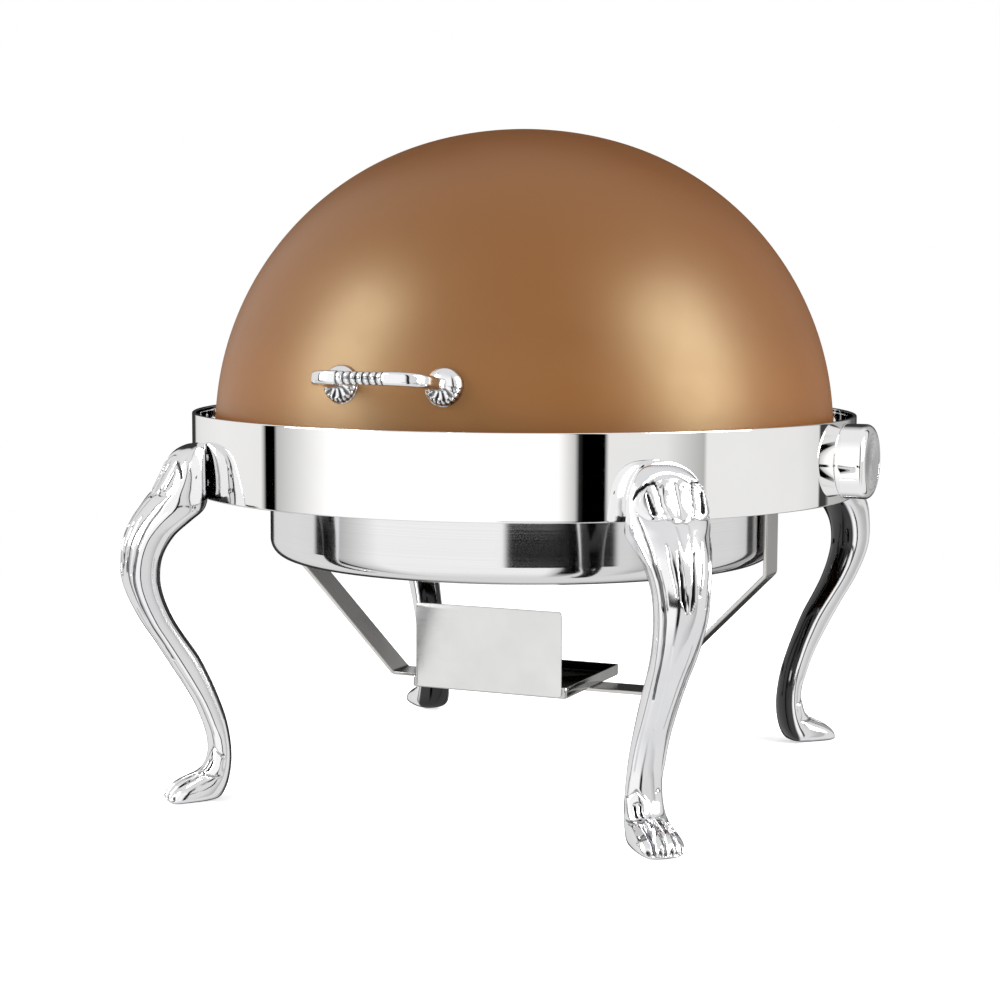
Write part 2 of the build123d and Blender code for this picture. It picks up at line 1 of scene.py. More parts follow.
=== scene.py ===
import json
import math
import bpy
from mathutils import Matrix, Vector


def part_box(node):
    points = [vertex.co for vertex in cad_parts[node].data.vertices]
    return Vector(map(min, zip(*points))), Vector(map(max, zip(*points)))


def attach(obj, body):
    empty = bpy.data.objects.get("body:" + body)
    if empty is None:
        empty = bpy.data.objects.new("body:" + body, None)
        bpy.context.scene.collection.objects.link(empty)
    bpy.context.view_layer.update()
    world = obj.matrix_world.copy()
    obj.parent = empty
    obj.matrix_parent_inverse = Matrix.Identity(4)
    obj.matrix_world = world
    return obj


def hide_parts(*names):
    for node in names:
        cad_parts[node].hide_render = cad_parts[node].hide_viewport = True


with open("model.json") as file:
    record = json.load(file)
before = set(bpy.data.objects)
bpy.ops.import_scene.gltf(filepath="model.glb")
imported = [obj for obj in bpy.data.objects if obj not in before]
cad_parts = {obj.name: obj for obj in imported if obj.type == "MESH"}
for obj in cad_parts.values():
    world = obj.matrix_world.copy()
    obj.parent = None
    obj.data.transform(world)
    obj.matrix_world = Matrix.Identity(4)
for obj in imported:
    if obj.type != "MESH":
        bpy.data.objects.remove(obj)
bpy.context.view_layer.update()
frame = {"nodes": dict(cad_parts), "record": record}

from types import SimpleNamespace

import bmesh
import bpy
import numpy as np
from mathutils import Matrix, Vector

# Round roll-top chafing dish: looks. Lengths are in metres, and mm turns a size in millimetres into metres.
mm = 0.001
node_box = {name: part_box(name) for name in frame["nodes"]}

# Places read from the boxes of the CAD nodes
ring_low, ring_high = node_box["frame_ring"]
ring_outer_r = ring_high.x
ring_bottom_z = ring_low.z
ring_top_z = ring_high.z
pivot_z = (ring_bottom_z + ring_top_z) / 2
lid_low, lid_high = node_box["dome_lid"]
# The lid's outside is an arc round a point this far out from its axis, and this high
lid_offset = 8.5 * mm
lid_centre_z = pivot_z + 14 * mm
cap_face_x = node_box["pivot_cap_right"][1].x
strap_low, strap_high = node_box["hanger_strap"]
support_low, support_high = node_box["pan_support_ring"]
water_low, water_high = node_box["water_pan"]
food_low, food_high = node_box["food_pan"]
tray_low, tray_high = node_box["fuel_tray"]
plate_low, plate_high = node_box["fuel_front_plate"]

# Mesh fineness
round_steps = 384
small_round_steps = 128
arc_steps = 8


# --- Mesh helpers ---------------------------------------------------------------------------------

def clean_mesh(name, vertices, faces, merge=0.0):
    """Smooth-shaded mesh with outward normals."""
    mesh = bpy.data.meshes.new(name)
    mesh.from_pydata([tuple(v) for v in vertices], [], faces)
    build = bmesh.new()
    build.from_mesh(mesh)
    if merge:
        bmesh.ops.remove_doubles(build, verts=build.verts, dist=merge)
    bmesh.ops.recalc_face_normals(build, faces=build.faces)
    build.to_mesh(mesh)
    build.free()
    mesh.polygons.foreach_set("use_smooth", [True] * len(mesh.polygons))
    return mesh


def placed(name, mesh):
    """Object of a mesh, in the scene."""
    piece = bpy.data.objects.new(name, mesh)
    bpy.context.scene.collection.objects.link(piece)
    return piece


def new_piece(name, vertices, faces):
    """Object whose vertices that lie in one place are merged."""
    return placed(name, clean_mesh(name, vertices, faces, merge=0.002 * mm))


def point_values(mesh, name, values):
    """Gives every vertex a number, which a material reads by its name."""
    attribute = mesh.attributes.new(name, "FLOAT", "POINT")
    attribute.data.foreach_set("value", np.array(values, np.float32))


def places(mesh):
    """Where the vertices of a mesh are, one row for each."""
    return np.array([vertex.co for vertex in mesh.vertices])


def grid_faces(rows, columns, wrap_rows=False):
    """Quads between neighbouring rows of a grid of vertices. Each row is a closed loop."""
    faces = []
    for i in range(rows if wrap_rows else rows - 1):
        low = i * columns
        high = ((i + 1) % rows) * columns
        for j in range(columns):
            k = (j + 1) % columns
            faces.append((low + j, low + k, high + k, high + j))
    return faces


def capped_piece(name, rows):
    """Piece through rows of points that are closed loops, with a flat face on the first and the last."""
    columns = len(rows[0])
    last = (len(rows) - 1) * columns
    caps = [tuple(range(columns)), tuple(range(last, last + columns))]
    return new_piece(name, np.array(rows).reshape(-1, 3), grid_faces(len(rows), columns) + caps)


def ramp_up(value, start, width):
    """0 up to a start, then up to 1 over a width."""
    return np.clip((value - start) / width, 0, 1)


def soft(share):
    """The same change from 0 to 1, without a corner at its ends."""
    return share * share * (3 - 2 * share)


def mound(away, width):
    """1 in the middle, down to 0 at a width away from it."""
    return np.clip(1 - (away / width) ** 2, 0, 1)


def rounded_path(points, radii, closed=False, steps=arc_steps, support=0.25 * mm):
    """Polyline whose corners are arcs, with a point close to each arc's ends that keeps the flats flat."""
    count = len(points)
    path = []
    for i, point in enumerate(points):
        corner = np.array(point, float)
        radius = radii[i]
        if radius == 0 or (not closed and i in (0, count - 1)):
            path.append(corner)
            continue
        before = np.array(points[i - 1], float) - corner
        after = np.array(points[(i + 1) % count], float) - corner
        before_length = np.linalg.norm(before)
        after_length = np.linalg.norm(after)
        before /= before_length
        after /= after_length
        half = math.acos(max(-1.0, min(1.0, float(before @ after)))) / 2
        reach = radius / math.tan(half)
        start = corner + before * reach
        end = corner + after * reach
        middle = corner + (before + after) / np.linalg.norm(before + after) * radius / math.sin(half)
        if before_length > reach + 3 * support:
            path.append(start + before * support)
        from_start = start - middle
        from_end = end - middle
        turn = math.pi - 2 * half
        for k in range(steps + 1):
            share = k / steps
            a = math.sin((1 - share) * turn) / math.sin(turn)
            b = math.sin(share * turn) / math.sin(turn)
            path.append(middle + from_start * a + from_end * b)
        if after_length > reach + 3 * support:
            path.append(end + after * support)
    return path


def arc(centre, radius, start, end, steps):
    """Points on a circle from one angle to another, in degrees."""
    angles = np.radians(np.linspace(start, end, steps + 1))
    return [np.array([centre[0] + radius * math.cos(a), centre[1] + radius * math.sin(a)]) for a in angles]


def lathe(name, outline, closed=True):
    """Piece turned about the Z axis from an outline of (radius, height)."""
    outline = np.array(outline)
    steps = round_steps
    turns = np.arange(steps) * 2 * math.pi / steps
    radius = outline[:, 0][:, None]
    height = np.repeat(outline[:, 1][:, None], steps, axis=1)
    vertices = np.stack([radius * np.cos(turns), radius * np.sin(turns), height], -1)
    return new_piece(name, vertices.reshape(-1, 3), grid_faces(len(outline), steps, wrap_rows=closed))


def smooth_line(points, count):
    """Evenly spread points on a curve through the given ones."""
    points = np.array(points, float)
    ends = np.vstack([2 * points[0] - points[1], points, 2 * points[-1] - points[-2]])
    dense = []
    for i in range(1, len(ends) - 2):
        p0, p1, p2, p3 = ends[i - 1], ends[i], ends[i + 1], ends[i + 2]
        for t in np.linspace(0, 1, 24, endpoint=False):
            dense.append(
                0.5 * (2 * p1 + (p2 - p0) * t + (2 * p0 - 5 * p1 + 4 * p2 - p3) * t**2
                       + (3 * p1 - p0 - 3 * p2 + p3) * t**3)
            )
    dense.append(points[-1])
    dense = np.array(dense)
    run = np.concatenate([[0], np.cumsum(np.linalg.norm(np.diff(dense, axis=0), axis=1))])
    wanted = np.linspace(0, run[-1], count)
    return np.stack([np.interp(wanted, run, dense[:, k]) for k in range(dense.shape[1])], -1)


def rounded_rectangle(width, height, radius, steps=4):
    """Closed outline of a rectangle with round corners, about its middle."""
    w, h = width / 2, height / 2
    corners = [(w, -h), (w, h), (-w, h), (-w, -h)]
    return np.array(rounded_path(corners, [radius] * 4, closed=True, steps=steps, support=radius / 3))


def sweep(name, path, across, section):
    """Bar along a flat path: across is the direction square to the path's plane."""
    path = np.array(path, float)
    across = np.array(across, float)
    rows = []
    for i, point in enumerate(path):
        ahead = path[min(i + 1, len(path) - 1)]
        behind = path[max(i - 1, 0)]
        along = (ahead - behind) / np.linalg.norm(ahead - behind)
        side = np.cross(across, along)
        outline = section(i) if callable(section) else section
        rows.append([point + across * u + side * v for u, v in outline])
    return capped_piece(name, rows)


def finish_piece(piece, body, slot, material, *nodes):
    """Puts a piece on its body, with its finish, in place of CAD nodes."""
    piece.data.materials.clear()
    piece.data.materials.append(material)
    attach(piece, body)
    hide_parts(*nodes)


# --- Materials ------------------------------------------------------------------------------------

def fill_ramp(ramp, stops):
    """Sets the stops of a colour ramp, as (position, colour) from low to high."""
    for i, (position, colour) in enumerate(stops):
        element = ramp.elements[i] if i < 2 else ramp.elements.new(position)
        element.position = position
        element.color = (*colour, 1)


class Nodes:
    """Adds and links the nodes of one tree."""

    def __init__(self, tree):
        self.tree = tree

    def add(self, kind, **settings):
        node = self.tree.nodes.new(kind)
        for key, value in settings.items():
            setattr(node, key, value)
        return node

    def link(self, output, target):
        self.tree.links.new(output, target)

    def split(self, vector):
        """The X, Y and Z outputs of a vector."""
        node = self.add("ShaderNodeSeparateXYZ")
        self.link(vector, node.inputs[0])
        return node.outputs

    def length(self, vector):
        node = self.add("ShaderNodeVectorMath", operation="LENGTH")
        self.link(vector, node.inputs[0])
        return node.outputs["Value"]

    def ranged(self, value, low, high, first=0.0, last=1.0):
        """A value from low to high turned into one from first to last."""
        node = self.add("ShaderNodeMapRange")
        node.inputs["From Min"].default_value = low
        node.inputs["From Max"].default_value = high
        node.inputs["To Min"].default_value = first
        node.inputs["To Max"].default_value = last
        self.link(value, node.inputs["Value"])
        return node.outputs["Result"]


class Finish(Nodes):
    """Small builder of a material: a Principled shader with noise on its colour, roughness and bump."""

    def __init__(self, name):
        self.material = bpy.data.materials.new(name)
        self.material.use_nodes = True
        super().__init__(self.material.node_tree)
        self.shader = self.tree.nodes["Principled BSDF"]
        self.place = self.add("ShaderNodeTexCoord").outputs["Object"]

    def set(self, **values):
        for key, value in values.items():
            self.shader.inputs[key.replace("_", " ")].default_value = value

    def stretched(self, scale):
        """Coordinates stretched along an axis, for brushed marks."""
        mapping = self.add("ShaderNodeMapping")
        mapping.inputs["Scale"].default_value = scale
        self.link(self.place, mapping.inputs["Vector"])
        return mapping.outputs["Vector"]

    def turned(self, around="Z"):
        """Coordinates that follow circles about an axis through the origin, for spun and turned marks."""
        split = self.split(self.place)
        first, second = {"Z": ("X", "Y"), "X": ("Y", "Z")}[around]
        flat = self.add("ShaderNodeCombineXYZ")
        self.link(split[first], flat.inputs["X"])
        self.link(split[second], flat.inputs["Y"])
        joined = self.add("ShaderNodeCombineXYZ")
        self.link(self.length(flat.outputs[0]), joined.inputs["X"])
        self.link(split[around], joined.inputs["Y"])
        return joined.outputs[0]

    def noise(self, vector, scale, detail=3.0):
        node = self.add("ShaderNodeTexNoise")
        node.inputs["Scale"].default_value = scale
        node.inputs["Detail"].default_value = detail
        node.inputs["Roughness"].default_value = 0.6
        self.link(vector, node.inputs["Vector"])
        return node.outputs["Fac"]

    def point_value(self, name):
        """The number that each vertex carries under a name."""
        return self.add("ShaderNodeAttribute", attribute_name=name).outputs["Fac"]

    def roughness(self, value, low, high):
        """Roughness from noise, which is mostly between 0.3 and 0.7."""
        self.link(self.ranged(value, 0.3, 0.7, low, high), self.shader.inputs["Roughness"])

    def tint(self, value, first, second):
        """Colour between two tones by a value of noise."""
        ramp = self.add("ShaderNodeValToRGB")
        fill_ramp(ramp.color_ramp, [(0.3, first), (0.7, second)])
        self.link(value, ramp.inputs["Fac"])
        self.link(ramp.outputs["Color"], self.shader.inputs["Base Color"])
        return ramp.outputs["Color"]

    def cover(self, below, amount, colour):
        """Lays another colour over the tint where the amount is high."""
        layer = self.add("ShaderNodeMix", data_type="RGBA")
        layer.inputs["B"].default_value = (*colour, 1)
        self.link(amount, layer.inputs["Factor"])
        self.link(below, layer.inputs["A"])
        self.link(layer.outputs["Result"], self.shader.inputs["Base Color"])

    def bump(self, value, depth, before=None):
        node = self.add("ShaderNodeBump")
        node.inputs["Distance"].default_value = depth
        node.inputs["Strength"].default_value = 1.0
        self.link(value, node.inputs["Height"])
        if before is not None:
            self.link(before, node.inputs["Normal"])
        self.link(node.outputs["Normal"], self.shader.inputs["Normal"])
        return node.outputs["Normal"]


def mirror_steel():
    """Mirror-polished sheet: nearly flawless, with faint polishing haze."""
    f = Finish("mirror_steel")
    f.set(Metallic=1.0)
    haze = f.noise(f.stretched((1, 1, 6)), 30, detail=4)
    f.roughness(haze, 0.012, 0.035)
    f.tint(f.noise(f.place, 18), (0.935, 0.932, 0.93), (0.96, 0.958, 0.957))
    f.bump(f.noise(f.place, 14, detail=1), 0.02 * mm)
    return f.material


def cast_chrome():
    """Bright chrome over a casting: small waves left by polishing, painted shade in recesses and a painted
    dark reflection on a leg's back.
    """
    f = Finish("cast_chrome")
    f.set(Metallic=1.0)
    f.roughness(f.noise(f.place, 60), 0.07, 0.12)
    bright = f.tint(f.noise(f.place, 25), (0.80, 0.805, 0.83), (0.86, 0.862, 0.875))
    # Painted shade and painted dark reflection: near black where the vertices' value is high
    f.cover(bright, f.point_value("painted_shade"), (0.012, 0.012, 0.013))
    waves = f.bump(f.noise(f.place, 45, detail=2), 0.12 * mm)
    f.bump(f.noise(f.place, 400, detail=2), 0.0015 * mm, before=waves)
    return f.material


def lid_bronze():
    """Satin bronze coating: metal flake under a satin clear coat, with painted light that makes it a little
    lighter towards the lid's rim.
    """
    f = Finish("lid_bronze")
    f.set(Metallic=0.0, IOR=1.72, Specular_Tint=(1.0, 0.85, 0.50, 1))
    flake = f.noise(f.place, 2600, detail=2)
    coat = f.tint(flake, (0.110, 0.035, 0.0066), (0.130, 0.043, 0.0086))
    # Painted light: lifts the shade that the ring casts on the lid's lower part
    rim_painted_light = f.ranged(f.split(f.place)["Z"], 306 * mm, 244 * mm)
    f.cover(coat, rim_painted_light, (0.153, 0.051, 0.0100))
    f.roughness(f.noise(f.place, 40), 0.38, 0.42)
    peel = f.bump(f.noise(f.place, 260, detail=2), 0.006 * mm)
    f.bump(flake, 0.001 * mm, before=peel)
    return f.material


def pan_steel():
    """Satin spun sheet: fine rings round the axis."""
    f = Finish("pan_steel")
    f.set(Metallic=1.0)
    rings = f.noise(f.turned(), 1400, detail=4)
    f.tint(rings, (0.74, 0.738, 0.745), (0.80, 0.798, 0.805))
    f.roughness(rings, 0.06, 0.105)
    f.bump(rings, 0.0015 * mm)
    return f.material


def strap_steel():
    """Satin flat bar: lengthwise grinding marks and faint heat tint."""
    f = Finish("strap_steel")
    f.set(Metallic=1.0)
    lines = f.noise(f.stretched((10, 1100, 10)), 1.0, detail=4)
    f.tint(f.noise(f.place, 22), (0.52, 0.505, 0.49), (0.62, 0.61, 0.60))
    f.roughness(lines, 0.10, 0.20)
    f.bump(lines, 0.004 * mm)
    return f.material


def plate_steel():
    """Brushed sheet with horizontal grain."""
    f = Finish("plate_steel")
    f.set(Metallic=1.0)
    grain = f.noise(f.stretched((12, 1200, 2200)), 1.0, detail=4)
    f.tint(f.noise(f.place, 30), (0.66, 0.66, 0.66), (0.71, 0.71, 0.71))
    f.roughness(grain, 0.18, 0.26)
    f.bump(grain, 0.004 * mm)
    return f.material


def tray_steel():
    """Bright cold-rolled sheet with faint rolling lines, nearly black inside the tray."""
    f = Finish("tray_steel")
    f.set(Metallic=1.0)
    lines = f.noise(f.stretched((900, 14, 900)), 1.0, detail=4)
    clean = f.tint(f.noise(f.place, 40), (0.44, 0.44, 0.43), (0.54, 0.54, 0.53))
    f.cover(clean, f.point_value("tray_inside"), (0.03, 0.027, 0.023))
    f.roughness(lines, 0.06, 0.10)
    f.bump(lines, 0.001 * mm)
    return f.material


def cap_face_steel():
    """Turned face of a pivot cap: fine circular lathe marks."""
    f = Finish("cap_face_steel")
    f.set(Metallic=1.0, Anisotropic=0.5)
    tangent = f.add("ShaderNodeTangent", direction_type="RADIAL", axis="X")
    f.link(tangent.outputs[0], f.shader.inputs["Tangent"])
    shift = f.add("ShaderNodeVectorMath", operation="SUBTRACT")
    shift.inputs[1].default_value = (0, 0, pivot_z)
    f.link(f.place, shift.inputs[0])
    f.place = shift.outputs[0]
    marks = f.noise(f.turned("X"), 2200, detail=3)
    f.tint(marks, (0.78, 0.78, 0.79), (0.88, 0.88, 0.89))
    f.roughness(marks, 0.24, 0.34)
    f.bump(marks, 0.012 * mm)
    return f.material


def fastener_steel():
    """Bright hardware with fine turning marks and slight scuffs."""
    f = Finish("fastener_steel")
    f.set(Metallic=1.0)
    scuff = f.noise(f.place, 700, detail=4)
    f.tint(f.noise(f.place, 120), (0.55, 0.55, 0.56), (0.68, 0.68, 0.69))
    f.roughness(scuff, 0.15, 0.33)
    f.bump(scuff, 0.008 * mm)
    return f.material


def washer_nylon():
    """Natural nylon: milky and slightly waxy."""
    f = Finish("washer_nylon")
    f.set(Subsurface_Weight=0.15, Subsurface_Radius=(0.001, 0.001, 0.001))
    grain = f.noise(f.place, 900, detail=3)
    f.tint(grain, (0.72, 0.70, 0.63), (0.80, 0.78, 0.72))
    f.roughness(grain, 0.4, 0.55)
    f.bump(grain, 0.01 * mm)
    return f.material


def bush_brass():
    """Turned brass with light tarnish."""
    f = Finish("bush_brass")
    f.set(Metallic=1.0)
    tarnish = f.noise(f.place, 160, detail=4)
    f.tint(tarnish, (0.52, 0.36, 0.13), (0.70, 0.50, 0.21))
    f.roughness(tarnish, 0.18, 0.36)
    f.bump(f.noise(f.place, 1200, detail=2), 0.006 * mm)
    return f.material


finishes = {
    make.__name__: make()
    for make in (mirror_steel, cast_chrome, lid_bronze, pan_steel, strap_steel, plate_steel, tray_steel,
                 cap_face_steel, fastener_steel, washer_nylon, bush_brass)
}


# --- Ring, lid and pans ---------------------------------------------------------------------------

def ring_band():
    """Mirror band with folded hems and rolled edges."""
    wall = 1.5 * mm
    hem = 1.2 * mm
    hem_height = 3.0 * mm
    inner = ring_outer_r - wall
    corners = [
        (ring_outer_r, ring_bottom_z),
        (ring_outer_r, ring_top_z),
        (inner - hem, ring_top_z),
        (inner - hem, ring_top_z - hem_height),
        (inner, ring_top_z - hem_height),
        (inner, ring_bottom_z + hem_height),
        (inner - hem, ring_bottom_z + hem_height),
        (inner - hem, ring_bottom_z),
    ]
    rounds = [0.9 * mm, 0.9 * mm, 0.9 * mm, 0.4 * mm, 0.4 * mm, 0.4 * mm, 0.4 * mm, 0.9 * mm]
    piece = lathe("ring_band", rounded_path(corners, rounds, closed=True))
    finish_piece(piece, "base", "mirror_steel", finishes["mirror_steel"], "frame_ring")


def lid_outline(inset, steps):
    """Lower arc and crown arc of the lid from the rim up to the axis, set in by a thickness."""
    radius = lid_high.x - lid_offset - inset
    crown = 15.0
    rim_angle = math.degrees(math.asin((lid_low.z - lid_centre_z) / radius))
    low = arc((lid_offset, lid_centre_z), radius, rim_angle, 90 - crown, steps)
    extra = lid_offset / math.sin(math.radians(crown))
    crown_z = lid_centre_z - extra * math.cos(math.radians(crown))
    top = arc((0, crown_z), radius + extra, 90 - crown, 90, steps // 3)
    return low + top[1:]


def lid_shell():
    """Spun dome with a folded hem inside its rim."""
    sheet = 1.0 * mm
    hem_inner = 203.2 * mm
    hem_top = lid_low.z + 3.0 * mm
    above_hem = hem_top + 0.6 * mm
    outside = lid_outline(0, 90)
    inside = [p for p in lid_outline(sheet, 90)[::-1] if p[1] > above_hem]
    rim = rounded_path(
        [inside[-1], (inside[-1][0], hem_top), (hem_inner, hem_top), (hem_inner, lid_low.z),
         (outside[0][0], lid_low.z), outside[3]],
        [0, 0.4 * mm, 0.8 * mm, 0.8 * mm, 0.8 * mm, 0],
    )
    outline = inside[:-1] + rim + outside[4:]
    piece = lathe("lid_dome", outline, closed=False)
    finish_piece(piece, "lid", "lid_bronze", finishes["lid_bronze"], "dome_lid")


def pan(name, body, low, high, wall_r, floor_r, sheet, corner, bead):
    """Spun pan: flat floor, rounded corner, wall, flat rim and an edge."""
    rim_r = high.x
    rim_top = high.z - bead
    rim_end = rim_r - 0.6 * mm
    rim_bend = 3.0 * mm
    floor_top = low.z + sheet
    inside = [(0, floor_top), (floor_r - sheet, floor_top), (wall_r - sheet, rim_top), (rim_end, rim_top)]
    outside = [(rim_end, rim_top - sheet), (wall_r, rim_top - sheet), (floor_r, low.z), (0, low.z)]
    inner_path = rounded_path(inside, [0, corner - sheet, rim_bend + sheet, 0], steps=16)
    outer_path = rounded_path(outside, [0, rim_bend, corner, 0], steps=16)
    if bead:
        middle = (rim_r - bead, rim_top - sheet + bead)
        edge = arc(middle, bead, 140, -90, 20)
        gap = 0.1 * mm
        inner_path = [p for p in inner_path if p[0] < edge[0][0] - gap]
        outer_path = [p for p in outer_path if p[0] < edge[-1][0] - gap]
    else:
        edge = arc((rim_r - sheet / 2, rim_top - sheet / 2), sheet / 2, 90, -90, 12)
        inner_path = inner_path[:-1]
        outer_path = outer_path[1:]
    piece = lathe(name, inner_path + edge + outer_path, closed=False)
    finish_piece(piece, body, "pan_steel", finishes["pan_steel"], body)


def flat_ring():
    """Flat ring that carries the pans, with softened edges."""
    inner = 176.5 * mm
    corners = [(inner, support_low.z), (support_high.x, support_low.z), (support_high.x, support_high.z),
               (inner, support_high.z)]
    piece = lathe("pan_support", rounded_path(corners, [0.5 * mm] * 4, closed=True, steps=4))
    finish_piece(piece, "base", "strap_steel", finishes["strap_steel"], "pan_support_ring")


# --- Pivot caps -----------------------------------------------------------------------------------

def cap_outline(cap_r, edge_r, dish_r, back):
    """Outline of a hollow cap as (radius, distance out), from the middle of its face to its bore's end."""
    dish_depth = 0.8 * mm
    lip = 0.35 * mm
    wall = 3.0 * mm
    bore = 4.05 * mm
    boss = 8.0 * mm
    bore_end = cap_face_x - 4.4 * mm
    inner = cap_face_x - wall
    dish_arc = (dish_r**2 + dish_depth**2) / (2 * dish_depth)
    dish_centre = cap_face_x - dish_depth + dish_arc
    dished = np.linspace(0, dish_r - 0.3 * mm, 14)
    outline = [(r, dish_centre - math.sqrt(dish_arc**2 - r**2)) for r in dished]
    outline += arc((dish_r + 0.25 * mm, cap_face_x - lip), lip, 150, 90, 5)
    outline += arc((cap_r - edge_r, cap_face_x - edge_r), edge_r, 90, 0, 20)
    outline += [(cap_r, cap_face_x - edge_r - 0.3 * mm), (cap_r, back + 0.5 * mm), (cap_r, back + 0.15 * mm)]
    outline += [(cap_r - 0.3 * mm, back), (cap_r - wall, back), (cap_r - wall, inner - 2 * mm)]
    outline += [(cap_r - wall - 2 * mm, inner), (boss, inner), (boss, back), (bore, back)]
    outline += [(bore, bore_end), (0, bore_end)]
    return np.array(outline)


def pivot_cap(name, side):
    """Turned hollow cap: rounded edge, narrow bright ring and a dished, finely turned face."""
    cap_r = 24.25 * mm
    edge_r = 5.0 * mm
    dish_r = 18.0 * mm
    back = ring_outer_r + 0.05 * mm
    outline = cap_outline(cap_r, edge_r, dish_r, back)
    steps = small_round_steps
    turns = np.arange(steps) * 2 * math.pi / steps
    across = outline[:, 0][:, None] * np.cos(turns)
    up = outline[:, 0][:, None] * np.sin(turns)
    depth = np.repeat(outline[:, 1][:, None], steps, axis=1)
    # The back edge follows the ring's curve
    curve = back - np.sqrt(back**2 - across**2)
    shoulder = cap_face_x - edge_r
    depth = depth - curve * np.clip((shoulder - depth) / (shoulder - back), 0, 1)
    vertices = np.stack([side * depth, across, up + pivot_z], -1)
    piece = new_piece(name + "_shell", vertices.reshape(-1, 3), grid_faces(len(outline), steps))
    finish_piece(piece, "base", "mirror_steel", finishes["mirror_steel"], name)
    piece.data.materials.append(finishes["cap_face_steel"])
    for face in piece.data.polygons:
        out = face.center.x * side
        r = math.hypot(face.center.y, face.center.z - pivot_z)
        if out > cap_face_x - 1.0 * mm and r < dish_r - 0.3 * mm:
            face.material_index = 1


# --- Cast legs ------------------------------------------------------------------------------------

# Sections of a leg from the head down to the toes, in millimetres: distance from the ring's axis and
# height of the outer edge, the same of the inner edge, and half the width
leg_sections = [
    (229.5, 233.8, 225.3, 233.2, 3.6),
    (236.0, 232.6, 225.3, 228.5, 11.0),
    (242.5, 228.8, 225.3, 221.5, 17.4),
    (247.3, 222.5, 225.3, 213.0, 21.8),
    (250.6, 214.0, 225.3, 205.0, 24.0),
    (256.0, 205.0, 225.3, 198.5, 25.0),
    (265.0, 196.0, 228.5, 192.0, 25.0),
    (273.5, 185.0, 237.5, 184.5, 22.2),
    (279.0, 173.0, 248.0, 175.5, 19.2),
    (280.8, 160.0, 255.5, 163.0, 16.9),
    (280.4, 148.0, 257.5, 149.0, 15.9),
    (276.2, 135.0, 255.0, 136.0, 14.7),
    (268.5, 120.0, 249.0, 122.0, 13.3),
    (260.0, 107.0, 241.5, 110.0, 12.1),
    (250.6, 92.0, 232.0, 96.0, 11.3),
    (241.8, 78.0, 224.5, 81.0, 10.9),
    (234.8, 66.0, 219.0, 68.0, 10.9),
    (229.6, 54.0, 214.5, 55.0, 11.0),
    (226.0, 43.0, 212.0, 43.0, 11.2),
    (224.8, 32.0, 211.0, 31.0, 11.8),
    (227.2, 23.5, 211.8, 20.0, 12.6),
    (232.0, 19.3, 214.5, 9.5, 13.6),
    (238.0, 17.0, 219.5, 2.2, 14.6),
    (243.5, 14.8, 228.0, 0.3, 15.0),
    (248.2, 12.0, 238.0, 0.0, 14.8),
    (251.8, 8.6, 246.0, 0.0, 13.4),
    (253.8, 5.0, 251.0, 0.4, 10.5),
    (254.0, 2.6, 253.4, 1.6, 3.0),
]

# Cut lines of one half of a leg's front, mirrored to the other: points of (across, height, half width) in
# millimetres, then the depth and how dark the painted shade in the cut is
leg_cuts = [
    ([(-4.8, 185, 0.5), (-4.1, 172, 1.2), (-3.0, 158, 1.8), (-1.4, 151, 0.6)], 1.5, 1.0),
    ([(-11.0, 189, 0.5), (-9.6, 176, 0.9), (-7.0, 160, 0.5)], 0.8, 0.5),
    ([(-16.5, 182, 0.5), (-14.2, 168, 0.7), (-11.6, 152, 0.4)], 0.6, 0.2),
    ([(-24.6, 203, 0.6), (-19.6, 187, 1.0), (-15.2, 168, 0.9), (-13.0, 150, 0.8), (-10.6, 124, 0.7),
      (-8.4, 96, 0.7)], 0.8, 0.75),
    ([(-6.4, 130, 0.8), (-4.6, 104, 1.1), (-3.4, 76, 0.8)], 0.4, 0.0),
    ([(-17.2, 215.4, 1.1), (-16.4, 210, 1.5), (-15.6, 205.6, 2.0)], 1.6, 1.0),
    ([(-25.4, 213.0, 0.6), (-22.8, 217.2, 1.1), (-17.6, 221.2, 1.2), (-12.0, 222.6, 0.9), (-10.6, 217, 0.6),
      (-9.9, 209, 0.5)], 1.3, 1.0),
    ([(-9.9, 209, 0.9), (-8.0, 202, 0.7)], 0.9, 0.2),
    ([(-24.5, 205.5, 0.8), (-20, 202.4, 1.2), (-14.5, 202.2, 1.1), (-8.2, 203.2, 0.9)], 1.0, 0.0),
    ([(-7.4, 202.4, 0.8), (-3.4, 200.2, 1.0), (0.0, 201.0, 0.8)], 0.9, 0.25),
    ([(0.0, 221.5, 0.7), (0.0, 211, 0.9), (0.0, 202, 0.6)], 0.9, 0.25),
    ([(-4.0, 198.5, 0.5), (-3.2, 190, 0.8), (-2.4, 184, 0.4)], 0.6, 0.2),
    ([(-5.0, 219.4, 0.8), (-3.9, 219.0, 0.8)], 0.5, 0.5),
    ([(-12.4, 30.5, 0.5), (-7.0, 36.0, 0.8), (-2.0, 30.0, 0.5)], 0.7, 0.6),
    ([(-8.4, 26.5, 0.8), (-8.4, 20.5, 1.0)], 1.1, 1.0),
    ([(-5.4, 26.5, 0.8), (-5.4, 20.5, 1.0)], 1.1, 1.0),
    ([(-12.8, 17.8, 0.8), (-6.0, 18.8, 0.9), (0.0, 18.2, 0.8)], 0.9, 0.6),
]

# Raised parts of one half of a leg's front: middle (across, height), half sizes and how far they stand out
leg_lobes = [
    ((-17.6, 212.3), (7.2, 9.6), 0.9),
    ((-4.9, 211.8), (4.9, 10.4), 0.9),
    ((-6.6, 25.0), (6.6, 8.4), 1.2),
]

# More sizes of a leg in millimetres: where the shaft turns into the head, the round rim of the head's shield,
# the head's top and back, and the toes
neck_z = 192.0
shield_z = 206.0
shield_rim_r = 21.0
head_top_z = 233.9
head_back_r = ring_outer_r / mm + 0.25
toe_spacing = 7.2
nail_z = 4.6


